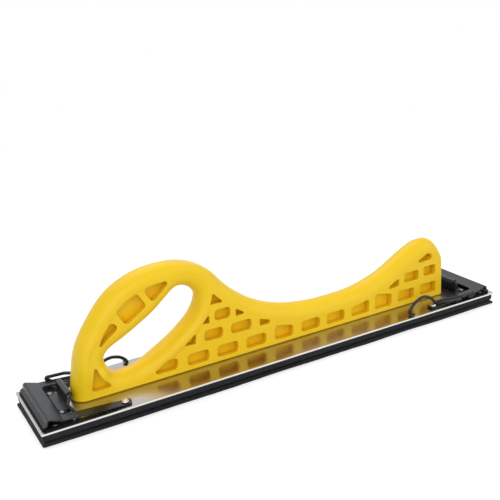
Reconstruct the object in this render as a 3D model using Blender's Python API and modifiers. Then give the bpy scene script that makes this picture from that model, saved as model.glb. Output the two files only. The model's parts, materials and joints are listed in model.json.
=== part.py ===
"""Longboard sanding block.

A moulded handle stands on an aluminium plate. A foam cushion with a smooth face is
glued below the plate, and a sprung clip with a wire lever at each end holds the
abrasive strip. Metres, +Z up, +X along the block towards the horn of the handle.
The origin is on the sanding face, under the middle of the plate.
"""

import math

import bmesh
import bpy
from mathutils import Matrix, Vector

# Plate and cushion
plate_length = 0.42545
plate_width = 0.06985
plate_thickness = 0.0015
plate_corner = 0.0012
foam_thickness = 0.0056
foam_inset = 0.0006
foam_edge = 0.0009
face_thickness = 0.0032
face_flare = 0.0008
face_edge = 0.0006
seat_gap = 0.0003          # the gap kept between pieces that touch
overrun = 0.0020           # how far a cutter runs past what it cuts
weld_distance = 0.000003

# Handle
handle_thickness = 0.0213
handle_height = 0.0898
nose_clearance = 0.0014    # from the rear clip's barrel to the handle
horn_clearance = 0.0099    # from the front clip's barrel to the handle
rim_flat = 0.0003          # flat left in the middle of a fully rounded rim
front_edge_radius = 0.0016
throat_rim_radius = 0.0065
bar_flat = 0.0010          # least flat between two rounded rims
pocket_web = 0.0050        # wall left between the pockets of both sides
pocket_corner = 0.0013
pocket_draft = 0.0005
rim_steps = 3
outline_steps = 3

# Clip: base, spring clamp and wire lever
wire_radius = 0.0011
wire_bend = 0.0022
bore_clearance = 0.0003
sheet_thickness = 0.0008
base_front = 0.0017        # from the plate's end to the base's front edge
base_step = 0.0175         # where the base narrows
base_side_margin = 0.0034
base_inner_half = 0.0146
barrel_reach = 0.0280      # from the plate's end to the lever's axis
barrel_height = 0.0105     # of the lever's axis over the plate
barrel_half = 0.0125
barrel_shift = 0.0015      # of the barrel towards the lever's side
front_inset = 0.0010       # the front clip sits this much further in
clamp_thickness = 0.0009
clamp_side_margin = 0.0029
arm_width = 0.0080
rear_arm_reach = 0.0633    # from the plate's end to the arm rivets
front_arm_reach = 0.0674   # the front clip's, from its own frame
arm_rise = 0.0025          # of the arm between its rivet and the lever's axis
tip_rise = 0.0008          # upturn of the arm past its rivet
tip_length = 0.0046
jaw_inner_edge = 0.0166
jaw_slope_foot = 0.0007    # rise of the arm from the axis to the crosspiece
ridge_reach = 0.0058
ridge_height = 0.0080
lip_reach = 0.0042
lip_foot_height = 0.0021
lip_flare = 0.0014
arm_corner_share = 0.45    # rounding of the arm's end, as a share of its width

# Lever
lever_side_gap = 0.0006    # from the arm's edge to the wire beside it
lever_corner_back = 0.0077 # from the axis out to the corner of the wire
lever_corner_drop = 0.0043 # of that corner below the axis
hook_tuck = 0.0015         # how far the plain end stays inside the arm's edge
hook_spread = 0.0030       # from the barrel's end out to the wire's foot
hook_back = 0.0035
lever_clear_run = 0.0095   # from the axis in to where the wire may cross the arm
lever_clear_drop = 0.0051  # of the wire there, below the axis
lever_over_arm = 0.0005
arch_start = 0.0060        # before the arm rivet
rear_arch_end = 0.0237     # past the arm rivet
front_arch_end = 0.0276
rear_arch_height = 0.0103
front_arch_height = 0.0126
arch_steps = 2             # between two places of arch_shares

# Rivets and screws
rivet_radius = 0.0015
rivet_head_radius = 0.00285
rivet_head_height = 0.0013
small_head_radius = 0.0023
small_head_height = 0.0009
tail_height = 0.0007
arm_hole_clearance = 0.0004
arm_head_gap = 0.0007      # lets the arm tilt under its rivet head
base_rivet_back = 0.0075   # from the lever's axis out to the base rivets
base_rivet_half = 0.0155
corner_rivet_reach = 0.0112
corner_rivet_margin = 0.0028
screw_radius = 0.0019
screw_head_radius = 0.0036
screw_length = 0.0105
screw_point = 0.0015
round_segments = 14
small_segments = 12
dome_steps = 3

# Places worked out from the sizes above
plate_bottom = face_thickness + foam_thickness + 2 * seat_gap
plate_top = plate_bottom + plate_thickness
half_length = plate_length / 2
half_width = plate_width / 2
half_thickness = handle_thickness / 2
bore_radius = wire_radius + bore_clearance
barrel_radius = bore_radius + sheet_thickness
handle_rear = -half_length + barrel_reach + barrel_radius + nose_clearance
handle_front = half_length - front_inset - barrel_reach - barrel_radius - horn_clearance
handle_length = handle_front - handle_rear
base_half = half_width - base_side_margin
arm_outer = half_width - clamp_side_margin
arm_inner = arm_outer - arm_width
arm_line = (arm_outer + arm_inner) / 2
hinge_height = seat_gap    # the arm's underside at its rivet
arm_top = hinge_height + clamp_thickness
base_top = seat_gap + sheet_thickness
tail_radius = rivet_radius * 1.5

# Outline of the handle as shares of its length and its height, from the rear foot
# over the loop, the saddle and the horn to the front foot
crest_shares = [
    (0.000, 0.000), (0.007, 0.227), (0.030, 0.495), (0.081, 0.795), (0.141, 0.947),
    (0.213, 1.000), (0.280, 0.956), (0.330, 0.844), (0.380, 0.644), (0.440, 0.469),
    (0.513, 0.352), (0.594, 0.297), (0.657, 0.293), (0.728, 0.318), (0.805, 0.403),
    (0.868, 0.532), (0.914, 0.618), (0.938, 0.629), (0.961, 0.610), (0.980, 0.551),
    (0.992, 0.467), (0.996, 0.377), (1.000, 0.000)]
throat_shares = [
    (0.077, 0.262), (0.104, 0.171), (0.155, 0.179), (0.203, 0.288), (0.268, 0.467),
    (0.293, 0.636), (0.278, 0.759), (0.258, 0.789), (0.239, 0.771), (0.191, 0.626),
    (0.126, 0.471), (0.085, 0.368)]
front_shares = (0.900, 0.360, 0.600)  # where the front starts, and the heights
                                      # between which its edges open out

# Brick-like pockets: bottom and top as shares of the height, then the two ends of
# each as shares of the length
brick_row_shares = [
    (0.052, 0.160, [(0.256, 0.308), (0.330, 0.382), (0.404, 0.456), (0.555, 0.607),
                    (0.628, 0.680)]),
    (0.056, 0.167, [(0.850, 0.902), (0.923, 0.975)]),
    (0.236, 0.336, [(0.300, 0.346), (0.367, 0.419)]),
    (0.240, 0.339, [(0.869, 0.916), (0.933, 0.971)]),
    (0.403, 0.503, [(0.328, 0.367)])]
brick_lean_shares = (0.115, -0.045)   # forward lean of the bricks' uprights at the rear
                                      # and at the front, as shares of their height
corner_pocket_shares = [
    [(0.049, 0.270), (0.035, 0.075), (0.079, 0.098), (0.058, 0.155)],
    [(0.179, 0.093), (0.207, 0.162), (0.234, 0.161), (0.229, 0.060), (0.181, 0.060)],
    [(0.481, 0.199), (0.531, 0.153), (0.530, 0.050), (0.480, 0.050)],
    [(0.703, 0.152), (0.756, 0.184), (0.756, 0.054), (0.703, 0.055)],
    [(0.782, 0.214), (0.828, 0.176), (0.828, 0.054), (0.776, 0.054), (0.775, 0.184)],
    [(0.252, 0.251), (0.279, 0.329), (0.277, 0.239)],
    [(0.442, 0.303), (0.469, 0.268), (0.466, 0.237), (0.442, 0.237)],
    [(0.813, 0.235), (0.850, 0.304), (0.851, 0.240)],
    [(0.314, 0.469), (0.298, 0.407), (0.314, 0.397)],
    [(0.382, 0.462), (0.402, 0.405), (0.381, 0.396)],
    [(0.911, 0.419), (0.946, 0.485), (0.960, 0.435), (0.954, 0.416)],
    [(0.327, 0.656), (0.349, 0.564), (0.320, 0.566)],
    [(0.094, 0.634), (0.107, 0.572), (0.083, 0.512), (0.062, 0.442), (0.076, 0.543)],
    [(0.107, 0.707), (0.130, 0.772), (0.152, 0.814), (0.171, 0.702),
     (0.147, 0.643), (0.123, 0.588)],
    [(0.173, 0.839), (0.197, 0.858), (0.225, 0.861), (0.208, 0.797), (0.192, 0.738)]]
# Finger arch of the lever, as shares of its length and its height
arch_shares = [(0.00, 0.16), (0.08, 0.20), (0.25, 0.72), (0.42, 0.96), (0.52, 1.00),
               (0.62, 0.98), (0.81, 0.76), (0.96, 0.33), (1.00, 0.00)]
# Screws stand in the solid posts between the pockets
screw_shares = [0.128, 0.319, 0.468, 0.618, 0.766, 0.913]


def clear_scene():
    for obj in list(bpy.data.objects):
        bpy.data.objects.remove(obj, do_unlink=True)


def new_collection(name):
    group = bpy.data.collections.new(name)
    bpy.context.scene.collection.children.link(group)
    return group


def make_material(name, color, roughness, metallic=0.0):
    material = bpy.data.materials.new(name)
    material.use_nodes = True
    shader = material.node_tree.nodes["Principled BSDF"]
    shader.inputs["Base Color"].default_value = (*color, 1.0)
    shader.inputs["Roughness"].default_value = roughness
    shader.inputs["Metallic"].default_value = metallic
    return material


def add_object(name, mesh, material=None, parent=None, location=(0, 0, 0), turn=(0, 0, 0)):
    """Put a mesh in the scene as one sub-part, or as a cutter when it has no material."""
    obj = bpy.data.objects.new(name, mesh)
    obj.location = location
    obj.rotation_euler = turn
    obj.parent = parent
    if material:
        mesh.materials.append(material)
        parts.objects.link(obj)
    else:
        cutters.objects.link(obj)
        obj.hide_render = True
        obj.display_type = "WIRE"
    return obj


def smooth_round(obj):
    obj.data.shade_smooth()
    obj.data.set_sharp_from_angle(angle=math.radians(35))
    return obj


def add_empty(name, location, turn=0.0, parent=None):
    empty = bpy.data.objects.new(name, None)
    empty.location = location
    empty.rotation_euler = (0, 0, turn)
    empty.parent = parent
    parts.objects.link(empty)
    return empty


def curve_data(points, cyclic=False, dimensions="2D"):
    curve = bpy.data.curves.new("outline", "CURVE")
    curve.dimensions = dimensions
    spline = curve.splines.new("POLY")
    spline.points.add(len(points) - 1)
    for target, point in zip(spline.points, points):
        target.co = (*point, 0.0, 1.0) if len(point) == 2 else (*point, 1.0)
    spline.use_cyclic_u = cyclic
    return curve


def mesh_of_curve(curve):
    """The curve's surface as a mesh whose caps are welded and flat faces whole."""
    obj = bpy.data.objects.new("curve", curve)
    cutters.objects.link(obj)
    depsgraph = bpy.context.evaluated_depsgraph_get()
    mesh = bpy.data.meshes.new_from_object(obj.evaluated_get(depsgraph))
    bpy.data.objects.remove(obj)
    shape = bmesh.new()
    shape.from_mesh(mesh)
    bmesh.ops.remove_doubles(shape, verts=shape.verts, dist=weld_distance)
    bmesh.ops.recalc_face_normals(shape, faces=shape.faces)
    shape.to_mesh(mesh)
    shape.free()
    return mesh


def plan_prism(points, low, high, corner=0.0, corner_steps=3):
    """A plan outline drawn up from low to high, with its upright edges rounded."""
    curve = curve_data(points, cyclic=True)
    curve.fill_mode = "BOTH"
    curve.extrude = (high - low) / 2
    mesh = mesh_of_curve(curve)
    mesh.transform(Matrix.Translation((0, 0, (low + high) / 2)))
    shape = bmesh.new()
    shape.from_mesh(mesh)
    bmesh.ops.dissolve_limit(shape, angle_limit=math.radians(0.1), verts=[],
                             edges=shape.edges, delimit=set())
    if corner > 0:
        upright = [edge for edge in shape.edges
                   if abs(edge.verts[0].co.z - edge.verts[1].co.z) > (high - low) / 2]
        bmesh.ops.bevel(shape, geom=upright, affect="EDGES", offset=corner,
                        segments=corner_steps, profile=0.5, clamp_overlap=True)
    shape.to_mesh(mesh)
    shape.free()
    return mesh


def rectangle(x_low, x_high, y_low, y_high):
    return [(x_low, y_low), (x_high, y_low), (x_high, y_high), (x_low, y_high)]


def side_sheet(profile, width, shift=0.0):
    """An open ribbon whose side view is the profile of (x, z) points."""
    curve = curve_data(profile)
    curve.fill_mode = "NONE"
    curve.extrude = width / 2
    mesh = mesh_of_curve(curve)
    mesh.transform(Matrix.Translation((0, shift, 0)) @ Matrix.Rotation(math.pi / 2, 4, "X"))
    return mesh


def cut(obj, cutter, operation="DIFFERENCE"):
    modifier = obj.modifiers.new(operation.lower(), "BOOLEAN")
    modifier.operation = operation
    modifier.solver = "EXACT"
    modifier.object = cutter
    return modifier


def thicken(obj, thickness):
    modifier = obj.modifiers.new("thickness", "SOLIDIFY")
    modifier.thickness = thickness
    modifier.offset = 0.0
    modifier.use_even_offset = True


def round_edges(obj, width, steps=3):
    modifier = obj.modifiers.new("rounding", "BEVEL")
    modifier.width = width
    modifier.segments = steps
    modifier.limit_method = "ANGLE"
    modifier.angle_limit = math.radians(50)


def turned(name, profile, material=None, parent=None, location=(0, 0, 0), segments=20):
    """A profile of (radius, height) points, top to bottom, turned about Z."""
    mesh = bpy.data.meshes.new(name)
    mesh.from_pydata([(radius, 0, height) for radius, height in profile],
                     [(i, i + 1) for i in range(len(profile) - 1)], [])
    obj = add_object(name, mesh, material, parent, location)
    screw = obj.modifiers.new("turn", "SCREW")
    screw.steps = segments
    screw.render_steps = segments
    screw.use_merge_vertices = True
    screw.merge_threshold = weld_distance
    screw.use_smooth_shade = True
    return obj


def smooth_points(knots, steps, cyclic=False):
    """Points on a smooth curve through the knots."""
    count = len(knots)
    points = []
    spans = count if cyclic else count - 1
    for i in range(spans):
        if cyclic:
            near = [Vector(knots[(i + k) % count]) for k in (-1, 0, 1, 2)]
        else:
            near = [Vector(knots[min(max(i + k, 0), count - 1)]) for k in (-1, 0, 1, 2)]
        before, start, end, after = near
        for step in range(steps):
            t = step / steps
            points.append(0.5 * (2 * start + (end - before) * t
                          + (2 * before - 5 * start + 4 * end - after) * t ** 2
                          + (3 * start - before - 3 * end + after) * t ** 3))
    if not cyclic:
        points.append(Vector(knots[-1]))
    return points


def arc_points(center, radius, start, stop, steps):
    """Points on an arc in degrees about a centre, in the side view."""
    angles = [math.radians(start + (stop - start) * k / steps) for k in range(steps + 1)]
    return [(center[0] + radius * math.cos(a), center[1] + radius * math.sin(a))
            for a in angles]


def bent_path(points, radius, steps=3):
    """The points as straight runs whose corners are bent to a radius."""
    path = [Vector(points[0])]
    for i in range(1, len(points) - 1):
        corner = Vector(points[i])
        back = (Vector(points[i - 1]) - corner)
        ahead = (Vector(points[i + 1]) - corner)
        reach = min(radius, back.length / 2, ahead.length / 2)
        enter = corner + back.normalized() * reach
        leave = corner + ahead.normalized() * reach
        for k in range(steps + 1):
            t = k / steps
            path.append(enter * (1 - t) ** 2 + corner * 2 * t * (1 - t) + leave * t ** 2)
    path.append(Vector(points[-1]))
    return path


# Handle

def on_handle(share):
    """A point of the handle's side view, given by its shares."""
    return (handle_rear + share[0] * handle_length, share[1] * handle_height)


def outward_normals(path, cyclic):
    """The left-hand normal at each point, which looks out of the material."""
    count = len(path)
    normals = []
    for i in range(count):
        before = path[(i - 1) % count] if cyclic else path[max(i - 1, 0)]
        after = path[(i + 1) % count] if cyclic else path[min(i + 1, count - 1)]
        along = (after - before).normalized()
        normals.append(Vector((-along.y, along.x)))
    if not cyclic:
        normals[0] = Vector((-1, 0))
        normals[-1] = Vector((1, 0))
    return normals


def rim_section(shape, point, normal, radius):
    """One row of corners across the rim, rounded by the radius at both faces."""
    row = []
    for side in (-1, 1):
        angles = [math.pi / 2 * k / rim_steps for k in range(rim_steps + 1)]
        if side < 0:
            angles.reverse()
        for angle in angles:
            inset = radius * (1 - math.cos(angle))
            spot = point - normal * inset
            across = side * (half_thickness - radius + radius * math.sin(angle))
            row.append(shape.verts.new((spot.x, across, spot.y)))
    return row


def loft_rim(shape, path, radii, cyclic):
    """Skin the rim from section to section and return its rows."""
    normals = outward_normals(path, cyclic)
    rows = [rim_section(shape, p, n, r) for p, n, r in zip(path, normals, radii)]
    pairs = list(zip(rows, rows[1:]))
    if cyclic:
        pairs.append((rows[-1], rows[0]))
    for near, far in pairs:
        for k in range(len(near) - 1):
            shape.faces.new((near[k], near[k + 1], far[k + 1], far[k]))
    return rows


def crest_radius(point, throat):
    """The rim is fully rounded where the bar round the throat is thick enough for it,
    but its front edges stay sharper low down."""
    wall = min((point - other).length for other in throat)
    full = min(half_thickness - rim_flat / 2, wall - throat_rim_radius - bar_flat)
    front, low, high = front_shares
    if point.x < handle_rear + front * handle_length:
        return full
    t = (point.y / handle_height - low) / (high - low)
    t = min(max(t, 0.0), 1.0)
    return front_edge_radius + (full - front_edge_radius) * t * t * (3 - 2 * t)


def handle_mesh():
    shape = bmesh.new()
    crest = smooth_points([on_handle(s) for s in crest_shares], outline_steps)
    throat = smooth_points([on_handle(s) for s in throat_shares], outline_steps, cyclic=True)
    outer = loft_rim(shape, crest, [crest_radius(p, throat) for p in crest], cyclic=False)
    inner = loft_rim(shape, throat, [throat_rim_radius] * len(throat), cyclic=True)
    for face in shape.faces:
        face.smooth = True
    shape.faces.new(outer[0] + outer[-1][::-1])
    for end in (0, -1):
        loops = [[row[end] for row in outer], [row[end] for row in inner]]
        border = [shape.edges.get((a, b)) for loop in loops
                  for a, b in zip(loop, loop[1:] + loop[:1])]
        bmesh.ops.triangle_fill(shape, use_beauty=True, edges=border)
    bmesh.ops.recalc_face_normals(shape, faces=shape.faces)
    mesh = bpy.data.meshes.new("handle")
    shape.to_mesh(mesh)
    shape.free()
    return mesh


def brick_outline(start, stop, bottom, top):
    """A brick whose uprights lean a little, more at the handle's rear."""
    rear, front = brick_lean_shares
    lean = rear + (front - rear) * (start + stop) / 2
    (x_low, z_low), (x_high, z_high) = on_handle((start, bottom)), on_handle((stop, top))
    slip = lean * (z_high - z_low) / 2
    return [(x_low - slip, z_low), (x_high - slip, z_low), (x_high + slip, z_high),
            (x_low + slip, z_high)]


def pocket_outlines():
    outlines = [[on_handle(s) for s in shares] for shares in corner_pocket_shares]
    for bottom, top, spans in brick_row_shares:
        for start, stop in spans:
            outlines.append(brick_outline(start, stop, bottom, top))
    return outlines


def pocket_cutter(outline, side):
    """A drafted plug for one pocket: its outline at the face, drawn in at the floor."""
    mesh = plan_prism(outline, pocket_web / 2, half_thickness + overrun,
                      pocket_corner, corner_steps=2)
    middle = sum((Vector(p) for p in outline), Vector((0, 0))) / len(outline)
    for vertex in mesh.vertices:
        if vertex.co.z < half_thickness:
            inward = middle - vertex.co.xy
            vertex.co.xy += inward.normalized() * pocket_draft
    turn = Matrix.Rotation(math.pi / 2, 4, "X")
    if side > 0:
        turn = Matrix.Scale(-1, 4, (0, 1, 0)) @ turn
    mesh.transform(turn)
    if side > 0:
        mesh.flip_normals()
    return mesh


def make_handle():
    foot = (0, 0, plate_top + seat_gap)
    handle = add_object("handle", handle_mesh(), yellow, location=foot)
    plugs = bmesh.new()
    for outline in pocket_outlines():
        for side in (-1, 1):
            plugs.from_mesh(pocket_cutter(outline, side))
    mesh = bpy.data.meshes.new("pockets")
    plugs.to_mesh(mesh)
    plugs.free()
    cut(handle, add_object("pocket_plugs", mesh, location=foot))
    return handle


# Plate, cushion and screws

def make_base():
    outline = rectangle(-half_length, half_length, -half_width, half_width)
    plate = add_object("base_plate", plan_prism(outline, 0, plate_thickness, plate_corner),
                       aluminium, location=(0, 0, plate_bottom))
    grown = half_length - foam_inset
    wide = half_width - foam_inset
    foam = add_object("foam_cushion",
                      plan_prism(rectangle(-grown, grown, -wide, wide), 0, foam_thickness),
                      foam_black, location=(0, 0, face_thickness + seat_gap))
    round_edges(foam, foam_edge, steps=2)
    return plate, foam


def make_face():
    """The face layer: a flat bottom whose sides flare out past the plate."""
    length = half_length + face_flare
    width = half_width + face_flare
    mesh = plan_prism(rectangle(-length, length, -width, width), 0, face_thickness)
    for vertex in mesh.vertices:
        if vertex.co.z > face_thickness / 2:
            vertex.co.x -= math.copysign(face_flare + foam_inset, vertex.co.x)
            vertex.co.y -= math.copysign(face_flare + foam_inset, vertex.co.y)
    face = add_object("pad_face", mesh, face_black)
    round_edges(face, face_edge, steps=2)
    return face


def drill(obj, spots, radius, low, high, parent=None):
    """Cut a round hole from low to high at each (x, y) spot, all in one cut."""
    shape = bmesh.new()
    for x, y in spots:
        bmesh.ops.create_cone(shape, cap_ends=True, segments=small_segments, radius1=radius,
                              radius2=radius, depth=high - low,
                              matrix=Matrix.Translation((x, y, (low + high) / 2)))
    mesh = bpy.data.meshes.new(obj.name + "_drill")
    shape.to_mesh(mesh)
    shape.free()
    cut(obj, add_object(mesh.name, mesh, parent=parent))


def screw_profile(grow, head_top=0.0):
    """Countersunk head down, shank up into the handle, sizes grown by a gap."""
    tip = screw_length + grow
    neck = plate_thickness + head_top
    return [(0, tip), (screw_radius / 3 + grow, tip),
            (screw_radius + grow, tip - screw_point), (screw_radius + grow, neck),
            (screw_head_radius + grow, head_top - grow), (0, head_top - grow)]


def make_screws(handle, plate):
    for number, share in enumerate(screw_shares, start=1):
        spot = (handle_rear + share * handle_length, 0, plate_bottom)
        turned(f"handle_screw_{number}", screw_profile(0), steel, location=spot,
               segments=round_segments)
        cutter = turned(f"screw_hole_{number}", screw_profile(seat_gap), location=spot,
                        segments=round_segments)
        cut(plate, cutter)
        cut(handle, cutter)


# Clips, each in its own frame: x runs in from the plate's end, y towards the lever

def base_outline():
    return [(base_front, -base_half), (base_step, -base_half),
            (base_step, -base_inner_half), (barrel_reach, -base_inner_half),
            (barrel_reach, base_inner_half), (base_step, base_inner_half),
            (base_step, base_half), (base_front, base_half)]


def barrel_profile():
    """Side view of the upright and the roll round the wire, as one bent sheet."""
    roll = bore_radius + sheet_thickness / 2
    foot = seat_gap + sheet_thickness / 2
    center = (barrel_reach, barrel_height)
    upright = (barrel_reach - roll, foot)
    return [upright] + arc_points(center, roll, 180, -100, 14)


def make_clip_base(name, frame):
    mesh = plan_prism(base_outline(), seat_gap, base_top, plate_corner, corner_steps=2)
    base = add_object(f"{name}_clip_base", mesh, black_steel, frame)
    roll = side_sheet(barrel_profile(), 2 * barrel_half, barrel_shift)
    barrel = add_object(f"{name}_barrel_roll", roll, parent=frame)
    thicken(barrel, sheet_thickness)
    cut(base, barrel, "UNION")
    smooth_round(base)
    return base


def clamp_profile(arm_reach):
    """Middle of the spring sheet from the arm's tip out to the lip."""
    middle = hinge_height + clamp_thickness / 2
    arm_up = middle + arm_rise
    return [(arm_reach + tip_length + overrun, middle + tip_rise),
            (arm_reach, middle),
            (barrel_reach, arm_up),
            (jaw_inner_edge, arm_up + jaw_slope_foot),
            (ridge_reach, ridge_height - clamp_thickness / 2),
            (lip_reach, lip_foot_height + lip_flare),
            (lip_reach - lip_flare, lip_foot_height)]


def clamp_outline(arm_reach):
    """Plan of the clamp: crosspiece and two arms, with a window between them."""
    tip = arm_reach + tip_length
    out = lip_reach - lip_flare - overrun
    half = arm_outer
    return [(out, -half), (tip, -half), (tip, -arm_inner), (jaw_inner_edge, -arm_inner),
            (jaw_inner_edge, arm_inner), (tip, arm_inner), (tip, half), (out, half)]


def make_clamp(name, frame, arm_reach):
    hinge = add_empty(f"{name}_clamp_hinge", (arm_reach, 0, hinge_height), parent=frame)
    sheet = side_sheet(clamp_profile(arm_reach), 2 * arm_outer + 2 * overrun)
    back = Matrix.Translation((-arm_reach, 0, -hinge_height))
    sheet.transform(back)
    clamp = add_object(f"{name}_clamp", sheet, black_steel, hinge)
    thicken(clamp, clamp_thickness)
    plan = plan_prism(clamp_outline(arm_reach), -overrun, ridge_height + 2 * overrun,
                      arm_width * arm_corner_share, corner_steps=4)
    plan.transform(back)
    cut(clamp, add_object(f"{name}_clamp_plan", plan, parent=hinge), "INTERSECT")
    drill(clamp, [(0, -arm_line), (0, arm_line)], rivet_radius + arm_hole_clearance,
          -overrun, overrun, hinge)
    smooth_round(clamp)
    return clamp


def lever_points(arm_reach):
    """The wire from its plain end through the barrel to the finger tab."""
    low = seat_gap + wire_radius
    beside = arm_outer + lever_side_gap + wire_radius
    near_end = barrel_shift - barrel_half
    far_end = barrel_shift + barrel_half
    over_arm = arm_top + wire_radius + lever_over_arm
    rest = arm_line - rivet_radius
    return [
        (barrel_reach, -arm_outer + hook_tuck, low),
        (barrel_reach, -arm_inner + wire_radius, low),
        (barrel_reach - hook_back, near_end - wire_bend - hook_spread,
         (low + barrel_height) / 2),
        (barrel_reach, near_end - wire_bend, barrel_height),
        (barrel_reach, far_end + wire_bend, barrel_height),
        (barrel_reach, far_end + wire_bend, low),
        (barrel_reach, beside, low),
        (barrel_reach - lever_corner_back, beside, barrel_height - lever_corner_drop),
        (barrel_reach + lever_clear_run, beside, barrel_height - lever_clear_drop),
        (arm_reach - 2 * arch_start, rest + wire_radius, over_arm + arm_rise / 2)]


def arch_points(arm_reach, arch_end, arch_height):
    """The finger arch, then the tab turned out to the side."""
    low = 2 * seat_gap + wire_radius
    rest = arm_line - rivet_radius
    start = arm_reach - arch_start
    length = arch_start + arch_end
    knots = [(start + share * length, rest + 2 * wire_radius * share,
              low + height * (arch_height - low)) for share, height in arch_shares]
    points = smooth_points(knots, arch_steps)
    end = points[-1]
    tab = [points[-2], end, (end.x, end.y + wire_bend, end.z),
           (end.x - wire_radius, half_width - wire_radius, end.z)]
    return points[:-2] + bent_path(tab, wire_bend, 2)


def make_lever(name, frame, arm_reach, arch_end, arch_height):
    axis = (barrel_reach, 0, barrel_height)
    hinge = add_empty(f"{name}_lever_hinge", axis, parent=frame)
    arch = arch_points(arm_reach, arch_end, arch_height)
    path = bent_path(lever_points(arm_reach) + arch[:2], wire_bend)[:-1] + arch[1:]
    curve = curve_data([tuple(p - Vector(axis)) for p in path], dimensions="3D")
    curve.bevel_depth = wire_radius
    curve.bevel_resolution = 2
    curve.use_fill_caps = True
    lever = add_object(f"{name}_lever", mesh_of_curve(curve), black_wire, hinge)
    return smooth_round(lever)


def rivet_profile(head_radius, head_height, under_head):
    """Domed head, shank and tail, measured from the top of the plate."""
    dome = [(head_radius * math.sin(a), under_head + head_height * math.cos(a))
            for a in [math.pi / 2 * k / dome_steps for k in range(dome_steps + 1)]]
    tail_top = -plate_thickness - seat_gap / 2
    return dome + [(rivet_radius, under_head), (rivet_radius, tail_top),
                   (tail_radius, tail_top), (tail_radius, tail_top - tail_height),
                   (0, tail_top - tail_height)]


def rivet_spots(arm_reach):
    """Each kind of rivet of a clip: its place on the lever's side, head and seat."""
    small = (small_head_radius, small_head_height)
    large = (rivet_head_radius, rivet_head_height)
    on_base = base_top + seat_gap
    return {"base": (barrel_reach - base_rivet_back, base_rivet_half, small, on_base),
            "corner": (corner_rivet_reach, base_half - corner_rivet_margin, small, on_base),
            "arm": (arm_reach, arm_line, large, arm_top + arm_head_gap)}


def make_rivets(name, frame, base, arm_reach):
    """Six rivets; returns where they stand, in the clip's own frame."""
    spots = []
    for kind, (x, y, head, under_head) in rivet_spots(arm_reach).items():
        for word, side in (("left", 1), ("right", -1)):
            turned(f"{name}_{kind}_rivet_{word}", rivet_profile(*head, under_head), steel,
                   frame, (x, side * y, 0), round_segments)
            spots.append((x, side * y))
    on_base = [spot for spot in spots if spot[0] < barrel_reach]
    drill(base, on_base, rivet_radius + seat_gap, -overrun, base_top + overrun, frame)
    return spots


def make_clip(name, x, turn, arm_reach, arch_end, arch_height):
    """One whole clip; returns its rivets' places in the world."""
    frame = add_empty(f"{name}_clip", (x, 0, plate_top), turn)
    base = make_clip_base(name, frame)
    make_clamp(name, frame, arm_reach)
    make_lever(name, frame, arm_reach, arch_end, arch_height)
    facing = math.cos(turn)
    return [(x + facing * spot_x, facing * spot_y)
            for spot_x, spot_y in make_rivets(name, frame, base, arm_reach)]


clear_scene()
parts = new_collection("longboard_sanding_block")
cutters = new_collection("cutters")
yellow = make_material("yellow_plastic", (0.91, 0.60, 0.02), 0.32)
aluminium = make_material("polished_aluminium", (0.86, 0.86, 0.87), 0.16, 1.0)
foam_black = make_material("black_foam", (0.018, 0.019, 0.022), 0.85)
face_black = make_material("black_vinyl", (0.012, 0.014, 0.020), 0.6)
black_steel = make_material("black_steel", (0.035, 0.038, 0.045), 0.35, 0.4)
black_wire = make_material("black_wire", (0.030, 0.032, 0.038), 0.32, 0.4)
steel = make_material("bright_steel", (0.80, 0.80, 0.78), 0.22, 1.0)

base_plate, foam_cushion = make_base()
make_face()
block_handle = make_handle()
make_screws(block_handle, base_plate)
rivets = make_clip("rear", -half_length, 0.0, rear_arm_reach, rear_arch_end,
                   rear_arch_height)
rivets += make_clip("front", half_length - front_inset, math.pi, front_arm_reach,
                    front_arch_end, front_arch_height)
drill(base_plate, rivets, rivet_radius + seat_gap, plate_bottom - overrun,
      plate_top + overrun)
drill(foam_cushion, rivets, tail_radius + seat_gap,
      plate_bottom - seat_gap - tail_height - overrun / 4, plate_bottom + overrun)
print("sub-parts", sum(obj.type == "MESH" for obj in parts.objects))
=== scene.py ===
# %% [markdown]
# A longboard sanding block: a yellow moulded handle on a polished aluminium plate, a black
# foam cushion with a smooth face below it, and a sprung clip with a wire lever at each end.
# The CAD frame gives every piece its place and its size. This lesson dresses it: finer
# shapes where the eye comes close, and a finish for each material.

# %% Load the frame
import json
import math

import bmesh
import bpy
from mathutils import Matrix, Vector, noise

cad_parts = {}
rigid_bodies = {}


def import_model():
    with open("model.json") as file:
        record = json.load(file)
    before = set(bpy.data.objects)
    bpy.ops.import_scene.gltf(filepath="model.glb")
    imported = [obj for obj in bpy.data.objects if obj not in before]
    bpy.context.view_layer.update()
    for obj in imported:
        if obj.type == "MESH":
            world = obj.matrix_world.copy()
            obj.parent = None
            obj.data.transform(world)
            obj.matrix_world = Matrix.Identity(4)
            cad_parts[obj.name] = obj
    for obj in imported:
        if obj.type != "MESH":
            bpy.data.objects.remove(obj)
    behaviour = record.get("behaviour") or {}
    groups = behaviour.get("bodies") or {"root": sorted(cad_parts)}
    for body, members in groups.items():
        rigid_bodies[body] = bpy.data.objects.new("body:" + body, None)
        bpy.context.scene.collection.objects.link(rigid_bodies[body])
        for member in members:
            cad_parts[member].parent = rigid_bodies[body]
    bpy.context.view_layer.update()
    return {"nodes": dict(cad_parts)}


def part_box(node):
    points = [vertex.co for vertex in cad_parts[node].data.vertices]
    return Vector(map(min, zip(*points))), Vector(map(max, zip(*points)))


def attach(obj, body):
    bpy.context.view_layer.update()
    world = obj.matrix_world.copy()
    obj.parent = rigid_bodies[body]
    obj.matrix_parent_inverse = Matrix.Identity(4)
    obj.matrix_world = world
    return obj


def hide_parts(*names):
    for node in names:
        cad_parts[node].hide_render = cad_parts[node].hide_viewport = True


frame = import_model()
nodes = frame["nodes"]
scene_objects = bpy.context.scene.collection.objects
print("nodes", len(nodes))

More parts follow.
